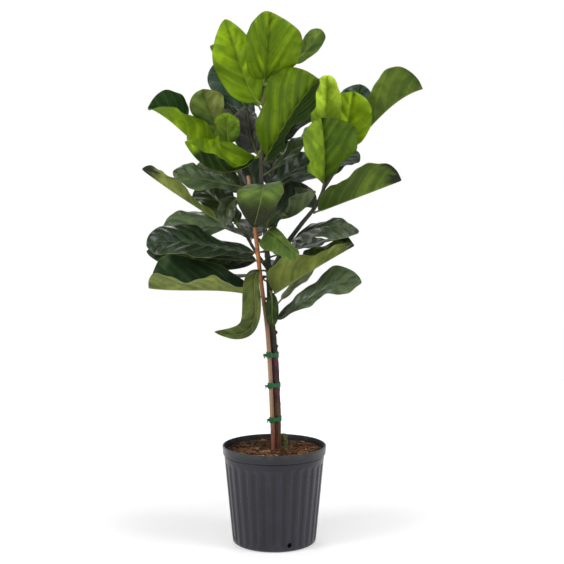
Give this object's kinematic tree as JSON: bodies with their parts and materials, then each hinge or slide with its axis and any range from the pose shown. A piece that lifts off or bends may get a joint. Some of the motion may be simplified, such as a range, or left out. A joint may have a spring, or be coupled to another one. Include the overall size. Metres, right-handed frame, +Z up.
{
  "type": "potted fiddle leaf fig",
  "caption": "Young fiddle leaf fig with large glossy leaves, tied to a cane, in a ribbed nursery pot with bark mulch.",
  "frame": {"origin": "centre of the pot's underside, where it stands on the floor", "axes": "+Z up along the trunk; the picture's camera looks along +Y, so the pot's front faces -Y"},
  "size_m": [0.6686, 0.4421, 1.2761],
  "materials": {
    "pot": "satin",
    "soil": "rough",
    "bark": "rough",
    "cane": "satin",
    "tie": "satin",
    "leaf_young": "satin",
    "leaf_mature": "gloss",
    "leaf_deep": "gloss"
  },
  "bodies": {
    "root": {"pot": "pot", "soil": "soil", "trunk": "bark", "cane": "cane", "tie_1": "tie", "tie_2": "tie", "tie_3": "tie", "leaf_01": "leaf_young", "leaf_02": "leaf_young", "leaf_03": "leaf_mature", "leaf_04": "leaf_young", "leaf_05": "leaf_young", "leaf_06": "leaf_young", "leaf_07": "leaf_deep", "leaf_08": "leaf_young", "leaf_09": "leaf_mature", "leaf_10": "leaf_young", "leaf_11": "leaf_mature", "leaf_12": "leaf_deep", "leaf_13": "leaf_deep", "leaf_14": "leaf_deep", "leaf_15": "leaf_young", "leaf_16": "leaf_mature", "leaf_17": "leaf_deep", "leaf_18": "leaf_deep", "leaf_19": "leaf_deep", "leaf_20": "leaf_deep", "leaf_21": "leaf_deep", "leaf_22": "leaf_deep", "leaf_23": "leaf_mature", "leaf_24": "leaf_mature", "leaf_25": "leaf_mature", "leaf_26": "leaf_deep", "leaf_27": "leaf_mature", "leaf_28": "leaf_deep", "leaf_29": "leaf_deep", "leaf_30": "leaf_mature", "leaf_31": "leaf_deep", "leaf_32": "leaf_deep", "leaf_33": "leaf_mature", "leaf_34": "leaf_mature", "leaf_35": "leaf_mature", "leaf_36": "leaf_deep", "leaf_37": "leaf_deep", "leaf_38": "leaf_deep", "leaf_39": "leaf_deep", "leaf_40": "leaf_mature", "leaf_41": "leaf_mature", "leaf_42": "leaf_mature", "leaf_43": "leaf_deep", "leaf_44": "leaf_deep", "leaf_45": "leaf_deep", "leaf_46": "leaf_deep", "leaf_47": "leaf_deep", "leaf_48": "leaf_deep", "leaf_49": "leaf_deep", "leaf_50": "leaf_young", "leaf_51": "leaf_young", "leaf_52": "leaf_deep", "leaf_53": "leaf_deep"}
  },
  "joints": []
}
